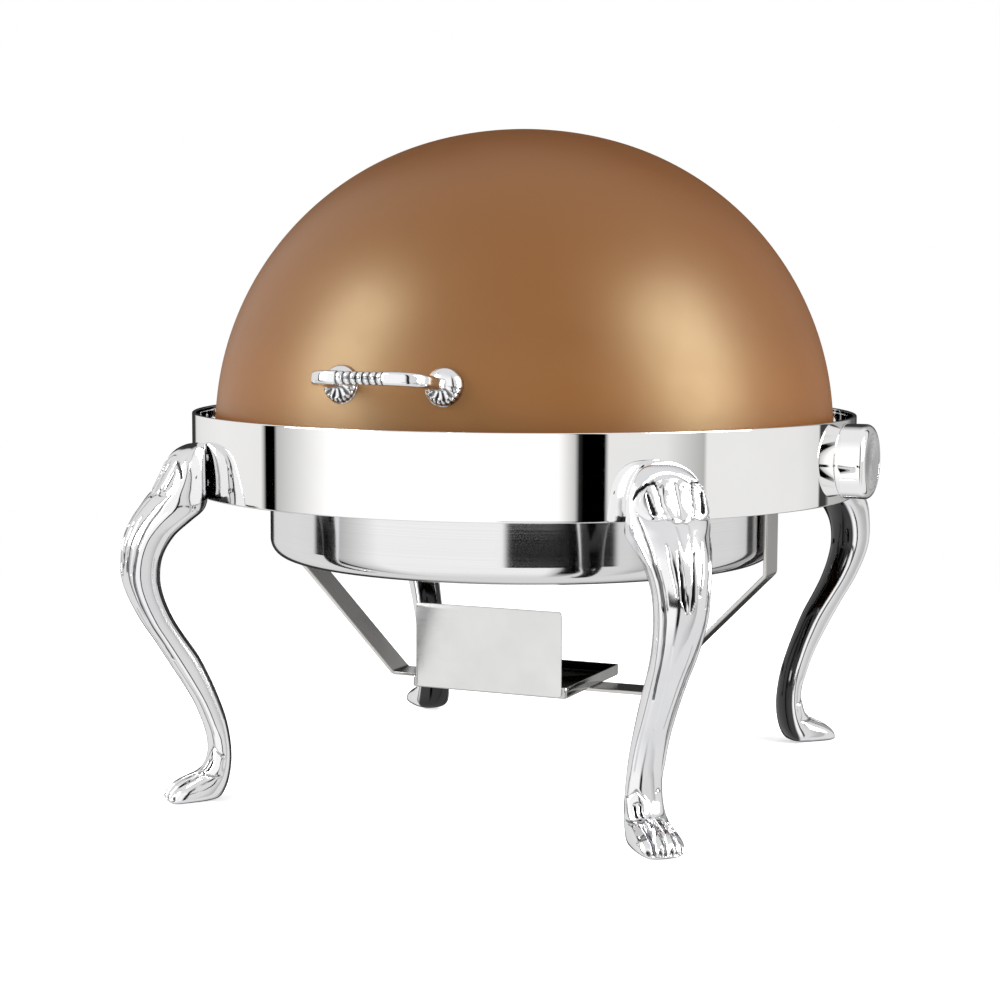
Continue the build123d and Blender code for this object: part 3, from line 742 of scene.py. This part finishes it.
def cut_strength(across, height, points):
    """How deep each place is inside a cut line, from 0 outside it to 1 on its middle."""
    strength = np.zeros_like(across)
    for (u0, z0, w0), (u1, z1, w1) in zip(points, points[1:]):
        run = np.array([u1 - u0, z1 - z0])
        share = ((across - u0) * run[0] + (height - z0) * run[1]) / (run @ run)
        share = np.clip(share, 0, 1)
        away = np.hypot(across - u0 - share * run[0], height - z0 - share * run[1])
        width = w0 + (w1 - w0) * share
        strength = np.maximum(strength, mound(away, width) ** 1.5)
    return strength


def leg_form(rows, columns):
    """Smooth leg along +X, in millimetres: a grid of places, each with its outward direction."""
    line = smooth_line(leg_sections, rows)
    outer = line[:, 0:2]
    inner = line[:, 2:4]
    half_width = np.maximum(line[:, 4], 0.4)[:, None]
    front_z = line[:, 1][:, None]
    # The head is a thick shield, widest towards its front. The shaft is an oval.
    head = soft(ramp_up(front_z, neck_z, 16))
    shoulder = np.exp(-((front_z - neck_z) / 8) ** 2)
    widest = 0.5 + 0.22 * head - 0.08 * shoulder
    angle = np.arange(columns) * 2 * math.pi / columns
    c, s = np.cos(angle)[None, :], np.sin(angle)[None, :]
    power = np.where(c >= 0, 2 / (2.4 + 0.4 * head), 2 / (2.4 - 0.3 * head))
    depth = np.abs(c) ** power
    share = np.where(c >= 0, widest + (1 - widest) * depth, widest - widest * depth)
    across = half_width * np.sign(s) * np.abs(s) ** power
    out = inner[:, :1] + (outer - inner)[:, :1] * share
    up = inner[:, 1:] + (outer - inner)[:, 1:] * share
    lean = 1.5 * ramp_up(front_z, 178, 28)
    shape = np.stack([out, across + lean, up], -1)
    around = (np.roll(shape, -1, axis=1) - np.roll(shape, 1, axis=1)) / 2
    normal = np.cross(around, np.gradient(shape, axis=0))
    normal /= np.maximum(np.linalg.norm(normal, axis=-1, keepdims=True), 1e-9)
    outward = shape - shape.mean(axis=1, keepdims=True)
    normal *= np.sign((outward * normal).sum(-1).mean())
    return SimpleNamespace(shape=shape, normal=normal, across=across, up=up, share=share,
                           half_width=half_width, front_z=front_z)


def leg_relief(form):
    """How far each place of a leg's front stands out, in millimetres, and how dark the painted shade in its
    cuts is.
    """
    across, up, share = form.across, form.up, form.share
    # Both halves have the same cut lines, about a middle that is 3 mm to one side on the head
    middle = 3.0 * soft(ramp_up(up, 172, 34))
    mirrored = np.where(up < 34, across, -np.abs(across - middle))
    push = np.zeros_like(across)
    painted_shade = np.zeros_like(across)
    for (u, z), (a, b), height in leg_lobes:
        near = np.clip(1.3 - ((mirrored - u) / a) ** 2 - ((up - z) / b) ** 2, 0, 1)
        push = np.maximum(push, height * near**0.8)
    # An arc-shaped cut inside the shield's edge
    from_shield = np.hypot(across, up - shield_z)
    push -= 0.5 * mound(from_shield - shield_rim_r, 1.4) ** 1.5 * ramp_up(up, 208, 5)
    for points, depth, dark in leg_cuts:
        cut = cut_strength(mirrored, up, points)
        push -= depth * cut
        # Painted shade inside each cut
        painted_shade = np.maximum(painted_shade, dark * ramp_up(cut, 0.12, 0.2))
    # Piping along both edges of the shaft
    edge = mound(np.abs(across) - (form.half_width - 1.1), 1.3)
    shaft = ramp_up(form.front_z, 42, 10) * (1 - ramp_up(form.front_z, neck_z, 8))
    push += 0.8 * edge * shaft * ramp_up(share, 0.2, 0.2)
    # Four toes with a nail on each
    toes = (1 - ramp_up(form.front_z, 16, 4)) * ramp_up(share, 0.3, 0.3)
    lane = across / toe_spacing
    gap = mound((lane - np.round(lane)) * toe_spacing, 1.7) ** 1.2 * (np.abs(lane) < 1.5)
    toe_middle = (np.floor(lane) + 0.5) * toe_spacing
    nail = np.clip(1 - ((across - toe_middle) / 1.6) ** 2 - ((up - nail_z) / 2.6) ** 2, 0, 1)
    push -= (2.4 * gap + nail) * toes
    # Painted shade in the gaps between the toes and on the nails
    painted_shade = np.maximum(painted_shade, 0.75 * ramp_up(gap, 0.5, 0.4) * (toes > 0.5))
    painted_shade = np.maximum(painted_shade, 0.9 * ramp_up(nail, 0.3, 0.4) * (toes > 0.5))
    facing = ramp_up(share, 0.45, 0.2)
    return push * facing, painted_shade * (facing > 0.3)


def leg_mesh():
    """One cast cabriole leg along +X: shield head against the ring, fluted knee, and a paw with four toes."""
    rows, columns = 400, 208
    form = leg_form(rows, columns)
    push, painted_shade = leg_relief(form)
    shape = form.shape + form.normal * push[..., None]
    # The casting's back, towards the pans, gets a painted dark reflection and painted shade
    sideways = np.degrees(np.arctan2(np.abs(form.normal[..., 1]), -form.normal[..., 0]))
    painted_shade = np.maximum(painted_shade, 0.96 * (1 - ramp_up(sideways, 48, 8)) * (form.up < 200))
    # The head lies on the ring's outside, and the sole on the table
    reach = np.hypot(shape[..., 0], shape[..., 1])
    shape[..., 0] *= np.where(form.up > 190, np.maximum(head_back_r / reach, 1), 1)
    shape[..., 2] = np.clip(shape[..., 2], 0, head_top_z)
    vertices = np.concatenate([shape.reshape(-1, 3), [shape[0].mean(0)], [shape[-1].mean(0)]]) * mm
    faces = grid_faces(rows, columns)
    top = rows * columns
    toe = top + 1
    last = top - columns
    for j in range(columns):
        k = (j + 1) % columns
        faces.append((top, k, j))
        faces.append((toe, last + j, last + k))
    mesh = clean_mesh("cast_leg", vertices, faces)
    point_values(mesh, "painted_shade", [*painted_shade.ravel(), 0, 0])
    return mesh


def legs():
    """The same casting at the four places of the CAD legs, mirrored for the legs on the left."""
    shared = leg_mesh()
    for mount in frame["record"]["mounts"]:
        if not mount["name"].startswith("sole_"):
            continue
        place = mount["name"][len("sole_"):]
        turn = math.atan2(mount["pos_m"][1], mount["pos_m"][0])
        mesh = shared.copy()
        mesh.name = "cast_leg_" + place
        if place.endswith("left"):
            mesh.transform(Matrix.Diagonal((1, -1, 1, 1)))
            mesh.flip_normals()
        mesh.transform(Matrix.Rotation(turn, 4, "Z"))
        piece = placed(mesh.name, mesh)
        finish_piece(piece, "base", "cast_chrome", finishes["cast_chrome"], "leg_" + place)


# --- Handle ---------------------------------------------------------------------------------------

handle_half_span = 34.2 * mm
handle_reach = 41.0 * mm
handle_tilt = math.radians(8)
handle_out = np.array([0, -math.cos(handle_tilt), math.sin(handle_tilt)])
handle_up = np.array([0, math.sin(handle_tilt), math.cos(handle_tilt)])
handle_origin = np.array([0, -203.03 * mm, 275.7 * mm])
bar_depth = 9.0 * mm
bar_height = 8.0 * mm


def divided(path, spacing):
    """The same path with a point at about every spacing."""
    points = []
    for a, b in zip(path, path[1:]):
        count = max(1, int(np.linalg.norm(b - a) / spacing))
        points += [a + (b - a) * k / count for k in range(count)]
    return points + [path[-1]]


def handle_bar():
    """Bar of a soft square section with square corners and turned rings at its middle."""
    x, y = handle_half_span, handle_reach
    start = 4.0 * mm
    corner = 15.0 * mm
    flat = rounded_path([(-x, start), (-x, y), (x, y), (x, start)], [0, corner, corner, 0], steps=24)
    dense = divided(flat, 0.5 * mm)
    path = [handle_origin + np.array([p[0], 0, 0]) + handle_out * p[1] for p in dense]
    rings = [-13.0 * mm, -8.4 * mm, -4.2 * mm, 0, 4.2 * mm, 8.4 * mm, 13.0 * mm]
    ring_half = 1.5 * mm
    past_ring = 1.9 * mm
    turned_half = 16 * mm

    def section(i):
        on_front = dense[i][1] > y - 1 * mm
        ring = max(mound(dense[i][0] - r, ring_half) for r in rings) ** 0.5 if on_front else 0.0
        middle = max(0.0, 1 - (abs(dense[i][0]) / turned_half) ** 6) if on_front else 0.0
        slim = 1 - 0.16 * middle + 0.15 * middle * ring
        radius = min(2.4 * mm + 1.3 * mm * middle, 3.9 * mm * slim)
        return rounded_rectangle(bar_height * slim, bar_depth * slim, radius, steps=6)

    piece = sweep("handle_grip", path, handle_up, section)
    # Painted shade in the grooves between the turned rings and past the end rings
    grooves = [(a + b) / 2 for a, b in zip(rings, rings[1:])] + [rings[0] - past_ring, rings[-1] + past_ring]
    away = np.abs(places(piece.data)[:, :1] - grooves).min(axis=1)
    point_values(piece.data, "painted_shade", np.clip(1.6 - away / (0.5 * mm), 0, 1))
    finish_piece(piece, "lid", "cast_chrome", finishes["cast_chrome"], "handle_bar")


def rose_relief(turn, r):
    """Height of a rose's relief and how dark its painted shade is, by the turn round it and the share of its
    radius.
    """
    petals_end = 0.78
    beads_start = 0.8
    bead_row = 0.9
    beads = 22
    # The upper half and the middle are smooth
    low = np.sqrt(np.maximum(-np.sin(turn), 0)) * ramp_up(r, 0.25, 0.2)
    petal = np.abs(np.cos(5.5 * turn + 3 * r))
    bead_turn = beads * turn / (2 * math.pi)
    ball = np.sqrt(mound(np.hypot((bead_turn - np.round(bead_turn)) * 2.2, (r - bead_row) / 0.12), 1))
    relief = np.where(r < petals_end, 0.75 * np.sqrt(petal) - 0.75, -0.5) + 0.9 * ball
    # Painted shade between the petals and round the beads
    between = np.where(r < beads_start, (0.8 - petal) * 3, 1.5 - 1.7 * ball)
    return relief * low * mm, low * np.clip(between, 0, 1)


def rosette(name, side):
    """Domed rose: smooth above, with petals and a row of beads below, saddle-shaped against the lid."""
    radius = 11.75 * mm
    height = 8.0 * mm
    skirt = -3.5 * mm
    hole = 0.18
    rows, columns = 72, 160
    turn = np.arange(columns) * 2 * math.pi / columns
    tilt = np.linspace(hole, 1, rows)[:, None] * math.pi / 2
    r = np.sin(tilt)
    relief, dark = rose_relief(turn, r)
    # Two more rows behind the dome are the ends of its outside and of its hole
    out = np.vstack([r * (radius + relief), np.full(columns, radius), np.full(columns, r[0, 0] * radius)])
    front = np.vstack([np.cos(tilt) * (height + relief), np.full((2, columns), skirt)])
    dark = np.vstack([dark, np.zeros((2, columns))])
    x = (out * np.cos(turn)).reshape(-1, 1) + side * handle_half_span
    up = (out * np.sin(turn)).reshape(-1, 1)
    world = handle_origin + x * np.array([1, 0, 0]) + up * handle_up + front.reshape(-1, 1) * handle_out
    # The skirt stops just off the lid's outside
    lid_r = lid_high.x - lid_offset + 0.1 * mm
    surface = lid_offset + np.sqrt(np.maximum(lid_r**2 - (world[:, 2] - lid_centre_z) ** 2, 0))
    limit = -np.sqrt(np.maximum(surface**2 - world[:, 0] ** 2, 0))
    world[:, 1] = np.minimum(world[:, 1], limit)
    mesh = clean_mesh(name, world, grid_faces(rows + 2, columns, wrap_rows=True))
    # Painted shade in the rose's hollows
    point_values(mesh, "painted_shade", dark.ravel())
    finish_piece(placed(name + "_rose", mesh), "lid", "cast_chrome", finishes["cast_chrome"], name)


# --- Hanger strap and fuel tray -------------------------------------------------------------------

def hanger_strap():
    """Flat bar bent into a cradle, with soft edges."""
    thick = 2.5 * mm
    width = strap_high.y - strap_low.y
    bend = 3.0 * mm + thick / 2
    x_out = strap_high.x
    x_side = 175 * mm + thick / 2
    knee = 148 * mm - thick / 3
    x_floor = 93 * mm + thick / 3
    floor_z = strap_low.z + thick / 2
    top_z = support_low.z - thick / 2
    half = [(x_out, top_z), (x_side, top_z), (x_side, knee), (x_floor, floor_z)]
    corners = [(-x, z) for x, z in half] + half[::-1]
    flat = rounded_path(corners, [0] + [bend] * (len(corners) - 2) + [0], steps=10)
    path = [(p[0], 0, p[1]) for p in flat]
    piece = sweep("strap_cradle", path, (0, 1, 0), rounded_rectangle(width, thick, 0.6 * mm))
    finish_piece(piece, "base", "strap_steel", finishes["strap_steel"], "hanger_strap")


def fuel_tray():
    """Folded tray: a floor and four low lips of one bent sheet, with rounded folds."""
    sheet = 1.2 * mm
    low, high = tray_low, tray_high
    steps = 5
    corner = 1.6 * mm
    inner_corner = corner - sheet / 2
    fold = 1.4 * mm
    edge = 0.3 * mm
    middle_y = (low.y + high.y) / 2

    def level(inset, z, radius):
        outline = rounded_rectangle(high.x - low.x - 2 * inset, high.y - low.y - 2 * inset, radius, steps)
        return [(x, y + middle_y, z) for x, y in outline]

    def folded(inset, bend, radius):
        turns = np.linspace(0, math.pi / 2, steps + 1)
        return [level(inset + bend * (1 - math.sin(a)), low.z + inset + bend * (1 - math.cos(a)), radius)
                for a in turns]

    lip = [(0, edge), (edge * 0.3, edge * 0.3), (edge, 0)]
    rings = folded(0, fold, corner)
    rings += [level(inset, high.z - down, corner) for inset, down in lip]
    rings += [level(sheet - inset, high.z - down, inner_corner) for inset, down in lip[::-1]]
    rings += folded(sheet, fold - sheet / 2, inner_corner)[::-1]
    piece = capped_piece("fuel_shelf_tray", rings)
    x, y, z = places(piece.data).T
    gap = 0.9 * sheet
    inside = (x > low.x + gap) & (x < high.x - gap) & (y > low.y + gap) & (y < high.y - gap)
    point_values(piece.data, "tray_inside", inside & (z > low.z + gap))
    finish_piece(piece, "base", "plate_steel", finishes["tray_steel"], "fuel_tray")


def front_plate():
    """Upright plate with rounded corners and softened edges."""
    low, high = plate_low, plate_high
    corner = 2.5 * mm
    edge = 0.35 * mm
    middle_z = (low.z + high.z) / 2

    def level(inset, y):
        outline = rounded_rectangle(high.x - low.x - 2 * inset, high.z - low.z - 2 * inset, corner - inset, 6)
        return [(x, y, z + middle_z) for x, z in outline]

    soften = [(edge, 0), (edge * 0.3, edge * 0.3), (0, edge)]
    rings = [level(inset, low.y + deep) for inset, deep in soften]
    rings += [level(inset, high.y - deep) for inset, deep in soften[::-1]]
    piece = capped_piece("fuel_shield", rings)
    finish_piece(piece, "base", "plate_steel", finishes["plate_steel"], "fuel_front_plate")


# --- Carried-over CAD nodes -----------------------------------------------------------------------

def carried_over():
    """Hardware that keeps its CAD mesh gets its finish from the record's slot."""
    for part in frame["record"]["subparts"]:
        node = frame["nodes"][part["node"]]
        if node.hide_render:
            continue
        node.data.materials.clear()
        node.data.materials.append(finishes[part["material_slot"]])


# --- Studio ---------------------------------------------------------------------------------------

def camera():
    """Long lens at the height of the lid, a little to the right."""
    data = bpy.data.cameras.new("camera")
    item = bpy.data.objects.new("camera", data)
    bpy.context.scene.collection.objects.link(item)
    turn, pitch, roll = math.radians(23.41), math.radians(6.03), math.radians(0.26)
    ahead = Vector((-math.sin(turn) * math.cos(pitch), math.cos(turn) * math.cos(pitch), -math.sin(pitch)))
    right = Vector((math.cos(turn), math.sin(turn), 0))
    up = right.cross(ahead)
    right_rolled = right * math.cos(roll) + up * math.sin(roll)
    up_rolled = up * math.cos(roll) - right * math.sin(roll)
    place = Matrix((right_rolled, up_rolled, -ahead)).transposed().to_4x4()
    place.translation = (0.57393, -1.36599, 0.33709)
    item.matrix_world = place
    data.sensor_width = 36
    data.lens = 77.959
    data.shift_y = 0.01108
    bpy.context.scene.camera = item


def softbox(name, turn, width, radiance):
    """Tall area light round the object: turn is from -Y towards +X, in degrees."""
    rise = math.radians(22)
    distance = 1.7
    height = 1.4
    data = bpy.data.lights.new(name, "AREA")
    data.shape = "RECTANGLE"
    data.size = width
    data.size_y = height
    data.energy = radiance * math.pi * width * height
    item = bpy.data.objects.new(name, data)
    bpy.context.scene.collection.objects.link(item)
    a = math.radians(turn)
    back = Vector((math.sin(a) * math.cos(rise), -math.cos(a) * math.cos(rise), math.sin(rise)))
    item.location = Vector((0, 0, 0.3)) + back * distance
    item.rotation_mode = "QUATERNION"
    item.rotation_quaternion = (-back).to_track_quat("-Z", "Y")


def dark_card(name, start, end):
    """Low black screen round part of the object, between two turns, seen only in its reflections."""
    distance = 0.75
    bottom = 0.065
    top = 0.137
    soft_edge = 2.5
    count = 24
    vertices = []
    for a in np.radians(np.linspace(start, end, count + 1)):
        vertices += [(distance * math.sin(a), -distance * math.cos(a), z) for z in (bottom, top)]
    faces = [(2 * k, 2 * k + 2, 2 * k + 3, 2 * k + 1) for k in range(count)]
    piece = new_piece(name, vertices, faces)
    x, y, _ = places(piece.data).T
    turn = np.degrees(np.arctan2(x, -y))
    point_values(piece.data, "cover", np.clip(np.minimum(turn - start, end - turn) / soft_edge, 0, 1))
    f = Finish(name)
    f.set(Base_Color=(0.01, 0.01, 0.01, 1), Roughness=1.0, Specular_IOR_Level=0.0)
    f.link(f.point_value("cover"), f.shader.inputs["Alpha"])
    piece.data.materials.append(f.material)
    piece.visible_camera = False
    piece.visible_diffuse = False
    piece.visible_shadow = False


# Grey of the studio walls round the object: turn from -Y towards +X in degrees, and how bright
studio_walls = [
    (-180, 0.12), (-173, 0.04), (-133, 0.04), (-130.5, 0.76), (-122, 0.82), (-100, 0.88), (-75, 0.86),
    (-73.8, 0.0), (-68.2, 0.0), (-67.8, 0.52), (-44, 1.1), (34, 1.1), (40.4, 0.5), (40.8, 0.0),
    (49.4, 0.0), (49.8, 0.84), (70, 0.82), (85, 0.45), (85.6, 0.86), (129, 0.84), (141, 0.75),
    (141.6, 0.05), (147, 0.05), (149, 0.5), (166, 0.45), (174, 0.12), (180, 0.12),
]

# How much the walls show, by the angle above the floor in degrees
wall_heights = [(-90, 0), (-70, 0), (-40, 1), (40, 1), (65, 0), (90, 0)]


def studio():
    """White room with a few dark screens at eye height, white behind the object."""
    world = bpy.data.worlds.new("studio")
    bpy.context.scene.world = world
    world.use_nodes = True
    world.node_tree.nodes.clear()
    n = Nodes(world.node_tree)
    split = n.split(n.add("ShaderNodeTexCoord").outputs["Generated"])
    turn_round = n.add("ShaderNodeMath", operation="MULTIPLY")
    turn_round.inputs[1].default_value = -1
    n.link(split["Y"], turn_round.inputs[0])
    angle = n.add("ShaderNodeMath", operation="ARCTAN2")
    n.link(split["X"], angle.inputs[0])
    n.link(turn_round.outputs[0], angle.inputs[1])
    walls = n.add("ShaderNodeValToRGB")
    fill_ramp(walls.color_ramp, [(turn / 360 + 0.5, (grey, grey * 0.995, grey * 0.985))
                                 for turn, grey in studio_walls])
    n.link(n.ranged(angle.outputs[0], -math.pi, math.pi), walls.inputs["Fac"])
    # The walls show between two heights, by the angle above the floor, and fade to a plain light grey
    eye_height = n.add("ShaderNodeValToRGB")
    fill_ramp(eye_height.color_ramp, [(0.5 + 0.5 * math.sin(math.radians(rise)), (shown, shown, shown))
                                      for rise, shown in wall_heights])
    n.link(n.ranged(split["Z"], -1, 1), eye_height.inputs["Fac"])
    room = n.add("ShaderNodeMix", data_type="RGBA")
    room.inputs["A"].default_value = (0.85, 0.85, 0.85, 1)
    n.link(eye_height.outputs["Color"], room.inputs["Factor"])
    n.link(walls.outputs["Color"], room.inputs["B"])
    lit = n.add("ShaderNodeBackground")
    n.link(room.outputs["Result"], lit.inputs["Color"])
    plain = n.add("ShaderNodeBackground")
    plain.inputs["Color"].default_value = (1, 1, 1, 1)
    mix = n.add("ShaderNodeMixShader")
    n.link(n.add("ShaderNodeLightPath").outputs["Is Camera Ray"], mix.inputs["Fac"])
    n.link(lit.outputs[0], mix.inputs[1])
    n.link(plain.outputs[0], mix.inputs[2])
    output = n.add("ShaderNodeOutputWorld")
    n.link(mix.outputs[0], output.inputs["Surface"])


def floor():
    """Pale round table top that fades out at its edge."""
    radius = 1.1
    steps = 96
    fade_start = 0.6 * radius
    fade_end = 0.98 * radius
    vertices = [(0, 0, 0)]
    for k in range(steps):
        a = 2 * math.pi * k / steps
        vertices.append((radius * math.cos(a), radius * math.sin(a), 0))
    faces = [(0, 1 + k, 1 + (k + 1) % steps) for k in range(steps)]
    piece = new_piece("table_top", vertices, faces)
    piece.location.z = -0.1 * mm
    f = Finish("table_white")
    f.set(Base_Color=(0.9, 0.9, 0.9, 1), Roughness=0.9, Specular_IOR_Level=0.0)
    f.set(Emission_Color=(1, 1, 1, 1), Emission_Strength=0.55)
    f.link(f.ranged(f.length(f.place), fade_start, fade_end, 1.0, 0.0), f.shader.inputs["Alpha"])
    piece.data.materials.append(f.material)
    piece.visible_glossy = False


ring_band()
lid_shell()
pan("water_pan_shell", "water_pan", water_low, water_high,
    wall_r=173.0 * mm, floor_r=173.0 * mm, sheet=1.2 * mm, corner=12.0 * mm, bead=0)
pan("food_pan_shell", "food_pan", food_low, food_high,
    wall_r=165.0 * mm, floor_r=160.0 * mm, sheet=1.0 * mm, corner=14.0 * mm, bead=1.5 * mm)
flat_ring()
pivot_cap("pivot_cap_left", -1)
pivot_cap("pivot_cap_right", 1)
legs()
handle_bar()
rosette("handle_rosette_left", -1)
rosette("handle_rosette_right", 1)
hanger_strap()
fuel_tray()
front_plate()
carried_over()

camera()
studio()
floor()
softbox("left_light", -47, width=0.75, radiance=9.4)
softbox("right_light", 86, width=0.85, radiance=10.5)
dark_card("front_card", 15, 42.5)
dark_card("corner_card", 45, 60)
dark_card("left_card", -73, -63)
dark_card("back_card", -142, -122)
bpy.context.scene.view_settings.view_transform = "Standard"
